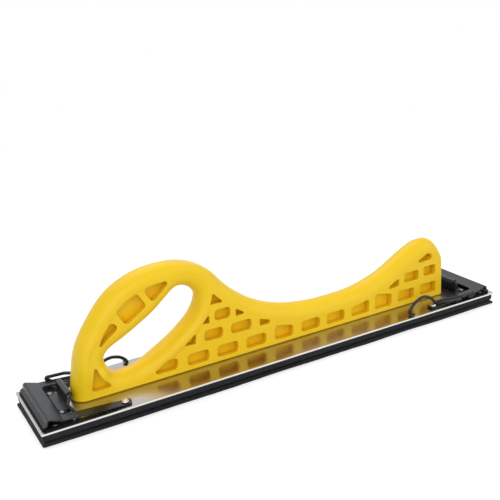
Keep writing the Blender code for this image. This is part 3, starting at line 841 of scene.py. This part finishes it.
for bottom, top, spans in brick_rows:
    for start, stop in spans:
        low, high = on_handle((start, bottom)), on_handle((stop, top))
        lean = (lean_at_rear - lean_change * (start + stop) / 2) * (high.y - low.y) / 2
        pockets.append([Vector((low.x - lean, low.y)), Vector((high.x - lean, low.y)),
                        Vector((high.x + lean, high.y)), Vector((low.x + lean, high.y))])
print("pockets a side", len(pockets))

# %% Pocket plugs
pocket_web = 0.0050
mouth_flare = 0.0006
floor_round = 0.0026
pocket_widening = 0.0006  # where the round of the floor starts
pocket_depth = half_thickness - pocket_web / 2
brick_corner, brick_corner_change = 0.0030, 0.0013
small_pocket, small_corner, least_corner = 0.0125, 0.0008, 0.0003
corner_fade = (0.02, 0.12)  # the places along the block between which the corners tighten
tip_radius, tip_angle = 0.0006, math.radians(38)
plug_overrun, overrun_flare = 0.0015, 0.74  # the flare there as a share of the mouth's
floor_share = 0.6  # of the room between a pocket's wall and its middle


def sharpened(outline):
    """Push narrow corners out by what their rounding takes away."""
    points = []
    for i, corner in enumerate(outline):
        back = (outline[i - 1] - corner).normalized()
        ahead = (outline[(i + 1) % len(outline)] - corner).normalized()
        half = back.angle(ahead) / 2
        if half < tip_angle:
            corner = corner - ((back + ahead).normalized() * tip_radius
                               * (1 / math.sin(half) - 1))
        points.append(corner)
    return points


def plug_rows(outline, side):
    """Rings of a plug as (growth, depth below the flat side), mouth first."""
    middle = sum(p.x for p in outline) / len(outline)
    width = max(p.x for p in outline) - min(p.x for p in outline)
    radius = small_corner
    if width > small_pocket:
        radius = brick_corner - brick_corner_change * ramp(middle, *corner_fade)
    outline = sharpened(outline)
    sides = sides_of(outline)
    area = abs(sum(a.x * b.y - b.x * a.y for a, b in sides)) / 2
    half_gap = 2 * area / sum((b - a).length for a, b in sides)
    hollow = min(floor_round, floor_share * half_gap - pocket_widening)
    rings = [(mouth_flare * overrun_flare, -plug_overrun)]
    for degrees in (15, 35, 55, 75, 90):
        t = math.radians(degrees)
        rings.append((mouth_flare * (1 - math.sin(t)), mouth_flare * (1 - math.cos(t))))
    for degrees in (0, 15, 30, 45, 60, 75, 88):
        t = math.radians(degrees)
        rings.append((-pocket_widening - hollow * (1 - math.cos(t)),
                      pocket_depth - floor_round * (1 - math.sin(t))))
    rows = []
    for growth, depth in rings:
        ring = round_corners(grow_outline(outline, growth),
                             max(radius + growth, least_corner), 5)
        rows.append([(p.x, side * (half_thickness - depth), p.y) for p in ring])
    return rows


plugs = bmesh.new()
for outline in pockets:
    for side in (-1, 1):
        skin(plugs, plug_rows(outline, side))
moulding = cut_mesh(handle_body, as_mesh(plugs, "pocket_plugs"))
moulding.transform(Matrix.Translation((0, 0, handle_foot)))
moulding.shade_smooth()
moulding.set_sharp_from_angle(angle=math.radians(38))
even_shading(place_piece("handle_moulding", moulding, yellow_moulding, "handle"))
print("handle faces", len(moulding.polygons))

# %% [markdown]
# ## Plate
#
# The plate is a strip of aluminium, 2 3/4 by 16 3/4 inches and 1.5 mm thick. A helper draws
# any flat piece from its plan: rings of the outline, which stand out by a hair at the top
# and bottom, so that every edge has a fine lip to catch the light. Real edges are broken
# the other way, drawn in a little.

# %% Flat pieces
half_length = 0.42545 / 2
half_width = 0.06985 / 2
plate_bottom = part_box("base_plate")[0].z
plate_corner, plate_edge = 0.0012, 0.00018
sharpest = 0.0001
edge_mid = 0.3  # where the middle ring of a lip lies, as a share of its height
side_tilt = (0.75, 0.98)  # the normal's z, from a cut side to a flat one


def flat_rows(outline, low, high, corner, edge, steps=5):
    """Rings of a flat piece with rounded corners in plan and a fine lip on its edges."""
    rows = []
    mid = edge_mid * edge
    for z, growth in ((low, -edge), (low + mid, -mid), (low + edge, 0),
                      (high - edge, 0), (high - mid, -mid), (high, -edge)):
        ring = round_corners(grow_outline(outline, growth),
                             max(corner + growth, sharpest), steps)
        rows.append([(p.x, p.y, z) for p in ring])
    return rows


def box_plan(x_low, x_high, y_low, y_high):
    """The corners of a rectangle."""
    return [Vector((x_low, y_low)), Vector((x_high, y_low)), Vector((x_high, y_high)),
            Vector((x_low, y_high))]


shape = bmesh.new()
skin(shape, flat_rows(box_plan(-half_length, half_length, -half_width, half_width),
                      plate_bottom, plate_top, plate_corner, plate_edge))
# The cut sides are marked for the painted highlight on the plate's edges.
highlight_side = shape.faces.layers.float.new("edge")
for face in shape.faces:
    face.normal_update()
    face[highlight_side] = 1.0 - ramp(abs(face.normal.z), *side_tilt)
plate = even_shading(place_piece("aluminium_plate", as_mesh(shape, "aluminium_plate"),
                                 polished_plate, "base_plate"))
print("plate in mm", [round(v * 1000, 2) for v in plate.dimensions])

# %% [markdown]
# ## Pads
#
# The foam is cut from sheet, so its sides are nearly straight, but they swell a little
# between the two layers that hold them and they are never quite even. The face below is
# squeezed outward and its rim waves softly. Both are made as closely spaced rings whose
# points are pushed in and out by a noise that is the same in every run.

# %% Pads
pad_corner, pad_spacing = 0.0014, 0.0022
under_shares = (0.985, 0.94)  # the flat underside's share of the lowest ring's size


def wave(x, y, z):
    """Smooth noise between -1 and 1."""
    return noise.noise(Vector((x, y, z)))


def soft_pad(name, low, levels, material, stands_for, wobble, curl):
    """Rings round the block as (height, growth past the plate), pushed about by noise."""
    plan = round_corners(box_plan(-half_length, half_length, -half_width, half_width),
                         pad_corner, 3)
    dense = []
    for a, b in sides_of(plan):
        count = max(int((b - a).length / pad_spacing), 1)
        dense += [a.lerp(b, k / count) for k in range(count)]
    rows = []
    for height, growth in levels:
        row = []
        for p in dense:
            # The numbers inside are waves a metre; those added only move the pattern.
            slow = wave(p.x * 17.0, p.y * 22.0, height * 60.0 + 5.0)
            fine = wave(p.x * 160.0, p.y * 160.0, height * 500.0)
            push = growth + wobble * (1.3 * slow + 0.3 * fine) - 0.5 * wobble
            lift = curl * (0.5 + wave(p.x * 21.0 + 3.0, p.y * 25.0, 0.0))
            lift = max(lift, 0.0) * (1 - height / levels[-1][0])
            row.append((p.x * (1 + push / half_length), p.y * (1 + push / half_width),
                        low + height + lift))
        rows.append(row)
    if curl:
        rows.insert(0, [(x * under_shares[0], y * under_shares[1], low)
                        for x, y, z in rows[0]])
    shape = bmesh.new()
    skin(shape, rows)
    pad = place_piece(name, as_mesh(shape, name, sharp=50), material, stands_for)
    print(name, "in mm", [round(v * 1000, 2) for v in pad.dimensions])
    return even_shading(pad)


# %% Cushion and face
face_thickness, foam_thickness = 0.0032, 0.0056
gap = 0.0003  # left between pieces that touch
# The levels are heights in the layer and how far its side stands past the plate's.
foam_levels = [(0.0, -0.0016), (0.0004, -0.0010), (0.0010, -0.0007), (0.0020, -0.0005),
               (0.0030, -0.0004), (0.0040, -0.0005), (0.0049, -0.0007), (0.0053, -0.0010),
               (foam_thickness, -0.0015)]
face_levels = [(0.0, 0.0004), (0.0003, 0.0008), (0.0008, 0.0009), (0.0014, 0.0006),
               (0.0020, -0.0001), (0.0026, -0.0008), (0.0030, -0.0013),
               (face_thickness, -0.0018)]
soft_pad("foam_pad", face_thickness + gap, foam_levels, black_foam, "foam_cushion",
         wobble=0.00030, curl=0.0)
soft_pad("face_layer", 0.0, face_levels, face_sheet, "pad_face",
         wobble=0.00050, curl=0.0006)

# %% [markdown]
# ## Clips
#
# Both ends carry the same clip, turned round. Each is drawn once in its own frame: u runs
# in from the end of the plate, v runs to the side that the lever lies on, z is up from the
# plate. The matrices carry it to each end.

# %% Clip frames
front_inset = 0.0010
clip_frames = {
    "rear": Matrix.Translation((-half_length, 0, plate_top)),
    "front": (Matrix.Translation((half_length - front_inset, 0, plate_top))
              @ Matrix.Rotation(math.pi, 4, "Z"))}
arm_reach = {"rear": 0.0633, "front": 0.0674}  # from the plate's end to the arm rivets
axis_reach, axis_height = 0.0280, 0.0105  # of the lever's axis
wire_radius, wire_bend, sheet_thickness = 0.0011, 0.0022, 0.0008
wire_coated = 0.0013  # the wire's radius with its coat, as the photograph shows it
arm_margin, arm_width = 0.0029, 0.0080
arm_outer = half_width - arm_margin
arm_inner = arm_outer - arm_width
arm_line = (arm_outer + arm_inner) / 2


def mirrored(half):
    """The closed outline, as (u, v), of a plan that is the same on both sides."""
    return [Vector((u, -v)) for u, v in half] + [Vector((u, v)) for u, v in half[::-1]]


def soften_edges(shape, width):
    """Round the sharp edges and mark the new narrow faces with the attribute edge."""
    mark = shape.faces.layers.float.new("edge")
    sharp = [e for e in shape.edges if len(e.link_faces) == 2
             and e.calc_face_angle(0) > math.radians(40)]
    result = bmesh.ops.bevel(shape, geom=sharp, offset=width, segments=2, profile=0.5,
                             affect="EDGES", clamp_overlap=True)
    for face in result["faces"]:
        face[mark] = 1.0
    return len(result["faces"])


print("clips at", {name: round(place.translation.x * 1000, 1)
                   for name, place in clip_frames.items()})

# %% [markdown]
# The base of a clip is a black strip riveted to the plate. Its inner edge turns up and is
# rolled round the lever's wire, which makes the barrel that the lever turns in. Between
# the two rivets a tab is pressed up out of the strip. The mesh carries two copies of the
# black coat: a lighter, shinier one on the tab and the roll, which is painted light, and a
# darker, duller one on the flat strip and the upright, which is painted shade. The tab's
# sloped sides get a painted highlight as well.

# %% Clip base sizes
base_margin, base_inner_half = 0.0034, 0.0146
base_half = half_width - base_margin
base_front, base_step = 0.0017, 0.0235
barrel_half, barrel_shift = 0.0125, 0.0015
bore_radius, barrel_edge = 0.0014, 0.00012
roll_start, roll_turn, roll_steps = 180, 280, 34  # the first two in degrees
# Upright faces take the painted shade; the tab's sloped sides, between the two z sizes,
# take a painted highlight.
upright_tilt, tab_highlight_tilt = 0.9, (0.2, 0.97)  # sizes of a face normal's x and z
base_plan = mirrored([(base_front, base_half), (base_step, base_half),
                      (base_step, base_inner_half), (axis_reach, base_inner_half)])
tab_plan = mirrored([(0.0188, 0.0120), (0.0228, 0.0140), (0.0262, 0.0140)])
tab_press, tab_sink, tab_slope_end = 0.0006, 0.0004, 0.0250
tab_top = gap + sheet_thickness + tab_press
strip_corner, strip_edge = 0.0011, 0.00015
tab_corner, tab_edge = 0.0007, 0.0002
print("barrel length in mm", barrel_half * 2000)

# %% Clip bases


def roll_section():
    """Closed side view of the upright and the roll, as (u, z)."""
    angles = [math.radians(roll_start - roll_turn * k / roll_steps)
              for k in range(roll_steps + 1)]
    outer, inner = [[Vector((axis_reach + radius * math.cos(a),
                             axis_height + radius * math.sin(a))) for a in angles]
                    for radius in (bore_radius + sheet_thickness, bore_radius)]
    inner.reverse()
    foot = gap + sheet_thickness / 2
    return [Vector((outer[0].x, foot))] + outer + inner + [Vector((inner[-1].x, foot))]


for end, place in clip_frames.items():
    shape = bmesh.new()
    skin(shape, flat_rows(base_plan, gap, gap + sheet_thickness, strip_corner,
                          strip_edge, 4))
    rows = []
    for v, growth in ((-barrel_half, -barrel_edge), (-barrel_half + barrel_edge, 0),
                      (barrel_half - barrel_edge, 0), (barrel_half, -barrel_edge)):
        rows.append([(p.x, barrel_shift + v, p.y)
                     for p in grow_outline(roll_section(), growth)])
    strip_faces = len(shape.faces)
    skin(shape, rows)
    skin(shape, flat_rows(tab_plan, gap + tab_sink, tab_top, tab_corner, tab_edge, 4))
    rim = shape.faces.layers.float.new("edge")
    shape.faces.index_update()
    # The flat strip and the upright get the darker coat as painted shade, and the tab's
    # sloped sides a painted highlight.
    painted_shade = []
    for face in shape.faces:
        face.normal_update()
        middle = face.calc_center_median()
        upright = abs(face.normal.x) > upright_tilt and tab_top < middle.z < axis_height
        painted_shade.append(int(face.index < strip_faces or upright))
        on_tab = middle.x < tab_slope_end and middle.z > gap + sheet_thickness
        face[rim] = float(on_tab and tab_highlight_tilt[0] < abs(face.normal.z) < tab_highlight_tilt[1])
    mesh = as_mesh(shape, f"{end}_clip_strip")
    mesh.transform(place)
    # The roll and the tab get the lighter coat, which is painted light.
    strip = place_piece(f"{end}_clip_strip", mesh, painted_light_coat, f"{end}_clip_base")
    strip.data.materials.append(painted_shade_coat)
    strip.data.polygons.foreach_set("material_index", painted_shade)
    even_shading(strip)
    print(end, "base faces in the thick coat", sum(painted_shade))

# %% [markdown]
# The clamp is one piece of spring steel: a crosspiece whose ridge and lip pinch the paper,
# and two long arms riveted near their ends. It starts as a bent sheet of the full width,
# and its plan, with the window between the arms, is then stamped out of it.

# %% Clamp sizes
clamp_thickness = 0.0009
arm_low = gap + clamp_thickness / 2
arm_rise, tip_length, tip_rise = 0.0025, 0.0046, 0.0008
jaw_inner_edge, jaw_rise = 0.0166, 0.0007
ridge_reach, ridge_height = 0.0058, 0.0080
lip_crease, lip_edge, lip_end = (0.0053, 0.0034), (0.0026, 0.0021), 0.0006
clamp_bend, arm_round, clamp_edge = 0.0016, 0.0036, 0.00014
stamp_overrun, stamp_low, stamp_high = 0.002, -0.004, 0.014
weld_distance = 0.000005
print("arms from the middle in mm", round(arm_inner * 1000, 1), round(arm_outer * 1000, 1))

# %% Clamps


def sheet_section(line, thickness):
    """The closed outline of a sheet whose middle follows the line."""
    left, right = [], []
    for i, point in enumerate(line):
        along = (line[min(i + 1, len(line) - 1)] - line[max(i - 1, 0)]).normalized()
        side = Vector((-along.y, along.x)) * thickness / 2
        left.append(point + side)
        right.append(point - side)
    return left + right[::-1]


def clamp_line(reach):
    """The bent sheet's middle line from behind the rivets to the lip, as (u, z)."""
    arm_up = arm_low + arm_rise
    knots = [Vector(p) for p in (
        (reach + tip_length + stamp_overrun, arm_low + tip_rise), (reach, arm_low),
        (axis_reach, arm_up), (jaw_inner_edge, arm_up + jaw_rise),
        (ridge_reach, ridge_height - clamp_thickness / 2), lip_crease, lip_edge)]
    return round_corners(knots, clamp_bend, 6, closed=False)


def clamp_plan(reach):
    """The stamped outline from above: the crosspiece and the two arms."""
    tip = reach + tip_length
    return mirrored([(lip_end, arm_outer), (tip, arm_outer), (tip, arm_inner),
                     (jaw_inner_edge, arm_inner)])


for end, place in clip_frames.items():
    reach = arm_reach[end]
    section = sheet_section(clamp_line(reach), clamp_thickness)
    shape = bmesh.new()
    skin(shape, [[(p.x, v, p.y) for p in section]
                 for v in (-arm_outer - stamp_overrun, arm_outer + stamp_overrun)])
    sheet = as_mesh(shape, "clamp_sheet", smooth=False)
    shape = bmesh.new()
    plan = round_corners(clamp_plan(reach), arm_round, 8)
    skin(shape, [[(p.x, p.y, z) for p in plan] for z in (stamp_low, stamp_high)])
    mesh = cut_mesh(sheet, as_mesh(shape, "clamp_plan", smooth=False), "INTERSECT")
    shape = bmesh.new()
    shape.from_mesh(mesh)
    bmesh.ops.remove_doubles(shape, verts=shape.verts, dist=weld_distance)
    rounded = soften_edges(shape, clamp_edge)
    mesh = as_mesh(shape, f"{end}_spring_clamp", sharp=50)
    mesh.transform(place)
    even_shading(place_piece(f"{end}_spring_clamp", mesh, coated_sheet, f"{end}_clamp",
                             f"{end}_clamp"))
    print(end, "clamp edge faces", rounded)

# %% [markdown]
# The lever is one wire. From its plain end under one arm it climbs into the barrel, drops
# under the other arm, turns back beside it and runs inward over the arm to a finger arch,
# which ends in a small tab. A tube of rings follows the bent line without twisting.

# %% Wire tube
tube_sides = 16
end_round = 0.2  # of the wire's radius, at both ends


def tube_rows(path, radius):
    """Rings of a wire along a path, with its ends slightly rounded."""
    rows = []
    along = (path[1] - path[0]).normalized()
    up = along.orthogonal().normalized()
    for i, point in enumerate(path):
        before, after = path[max(i - 1, 0)], path[min(i + 1, len(path) - 1)]
        next_along = (after - before).normalized()
        up = along.rotation_difference(next_along) @ up
        along = next_along
        across = along.cross(up)
        rows.append([point + radius * (math.cos(a) * up + math.sin(a) * across)
                     for a in circle(tube_sides)])
    for near, far in ((0, 1), (-1, -2)):
        center = sum(rows[near], Vector()) / tube_sides
        inner = [center + (p - center) * (1 - end_round) for p in rows[near]]
        away = (center - sum(rows[far], Vector()) / tube_sides).normalized()
        shift = away * radius * end_round
        rows[near] = [p - shift for p in rows[near]]
        rows.insert(0, inner) if near == 0 else rows.append(inner)
    return rows


straight_wire = tube_rows([Vector((0, 0, 0)), Vector((0, 0, 1))], wire_coated)
print("rings in a straight wire", len(straight_wire))

# %% Levers
foot_end = 0.0015  # from the arm's outer side to the wire's plain end
climb_back, climb_out = 0.0035, 0.0030  # the bend between the foot and the barrel
turn_reach, turn_drop, side_room = 0.0077, 0.0043, 0.0006  # the turn beside the clamp
run_reach, run_drop = 0.0095, 0.0051  # the way back past the barrel
cross_reach, cross_rise, arm_room = 0.0120, 0.00125, 0.0005  # where it crosses the arm
arch_start, rest_shift = 0.0060, 0.0015
arch_sizes = {"rear": (0.0237, 0.0103), "front": (0.0276, 0.0126)}


def lever_line(end):
    """The wire's middle line in the clip's own frame."""
    low = gap + wire_radius
    beside = arm_outer + side_room + wire_radius
    near_end, far_end = barrel_shift - barrel_half, barrel_shift + barrel_half
    rest = arm_line - rest_shift
    reach = arm_reach[end]
    over_arm = gap + clamp_thickness + wire_radius + arm_room
    arch_end, arch_height = arch_sizes[end]
    arch_low = 2 * gap + wire_radius
    arch_shares = [(0.00, 0.16), (0.08, 0.20), (0.25, 0.72), (0.42, 0.96), (0.52, 1.00),
                   (0.62, 0.98), (0.81, 0.76), (0.96, 0.33), (1.00, 0.00)]
    arch = smooth_line([(reach - arch_start + share * (arch_start + arch_end),
                         rest + 2 * wire_radius * share,
                         arch_low + height * (arch_height - arch_low))
                        for share, height in arch_shares], 5)
    run = [Vector(p) for p in (
        (axis_reach, -arm_outer + foot_end, low),
        (axis_reach, -arm_inner + wire_radius, low),
        (axis_reach - climb_back, near_end - wire_bend - climb_out,
         (low + axis_height) / 2),
        (axis_reach, near_end - wire_bend, axis_height),
        (axis_reach, far_end + wire_bend, axis_height),
        (axis_reach, far_end + wire_bend, low), (axis_reach, beside, low),
        (axis_reach - turn_reach, beside, axis_height - turn_drop),
        (axis_reach + run_reach, beside, axis_height - run_drop),
        (reach - cross_reach, rest + wire_radius, over_arm + cross_rise))]
    stop = arch[-1]
    tab = [arch[-2], stop, Vector((stop.x, stop.y + wire_bend, stop.z)),
           Vector((stop.x - wire_radius, half_width - wire_radius, stop.z))]
    return (round_corners(run + arch[:2], wire_bend, 8, closed=False)[:-1] + arch[1:-2]
            + round_corners(tab, wire_bend, 6, closed=False))


for end, place in clip_frames.items():
    shape = bmesh.new()
    line = lever_line(end)
    skin(shape, tube_rows(line, wire_coated))
    mesh = as_mesh(shape, f"{end}_wire_lever", sharp=50)
    mesh.transform(place)
    place_piece(f"{end}_wire_lever", mesh, coated_wire, f"{end}_lever",
                f"{end}_lever")
    length = sum((b - a).length for a, b in zip(line, line[1:]))
    print(end, "lever wire in mm", round(length * 1000, 1))

# %% [markdown]
# ## Rivets
#
# The rivets are turned and then set, which leaves a low dome with a thin rim. The two on
# the arms are larger and brighter. Each profile is turned about its own axis.

# %% Rivets
turned_sides = 32
shank_radius, shank_foot = 0.0015, -0.0012
rivet_sizes = {"arm": (0.00285, 0.0013), "base": (0.0023, 0.0009),
               "corner": (0.0023, 0.0009)}  # the dome's radius and height


def turned_rows(profile, center):
    """Rings of a profile turned about the upright line through the center."""
    return [[(center.x + radius * math.cos(a), center.y + radius * math.sin(a), height)
             for a in circle(turned_sides)] for radius, height in profile]


def rivet_profile(radius, height, under):
    """Radius and height from the dome's top down to the foot of the shank."""
    dome = [(radius * share, under + height * level) for share, level in (
        (0.10, 1.0), (0.34, 0.975), (0.55, 0.90), (0.73, 0.76), (0.87, 0.54), (0.96, 0.30),
        (1.0, 0.12), (0.985, 0.0))]
    return dome + [(shank_radius, under), (shank_radius, shank_foot)]


for name in [n for n in nodes if "rivet" in n]:
    low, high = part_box(name)
    radius, height = rivet_sizes[name.split("_")[1]]
    middle = (low + high) / 2
    shape = bmesh.new()
    skin(shape, [[(x, y, z + plate_top) for x, y, z in row] for row in turned_rows(
        rivet_profile(radius, height, high.z - plate_top - height), middle)])
    # The small rivets take the darker copy of the plating, which is painted shade.
    metal = plated_steel if "arm" in name else painted_shade_steel
    place_piece(name + "_dome", as_mesh(shape, name + "_dome", sharp=50), metal, name)
print("rivets", sum("rivet" in n for n in nodes))

# %% [markdown]
# The six screws that hold the handle sit in the plate's underside, under the foam. They
# keep the frame's own shape and get the plated finish.

# %% Screws
for name, node in nodes.items():
    if "screw" in name:
        node.data.materials.clear()
        node.data.materials.append(plated_steel)
print("screws", sum("screw" in n for n in nodes))
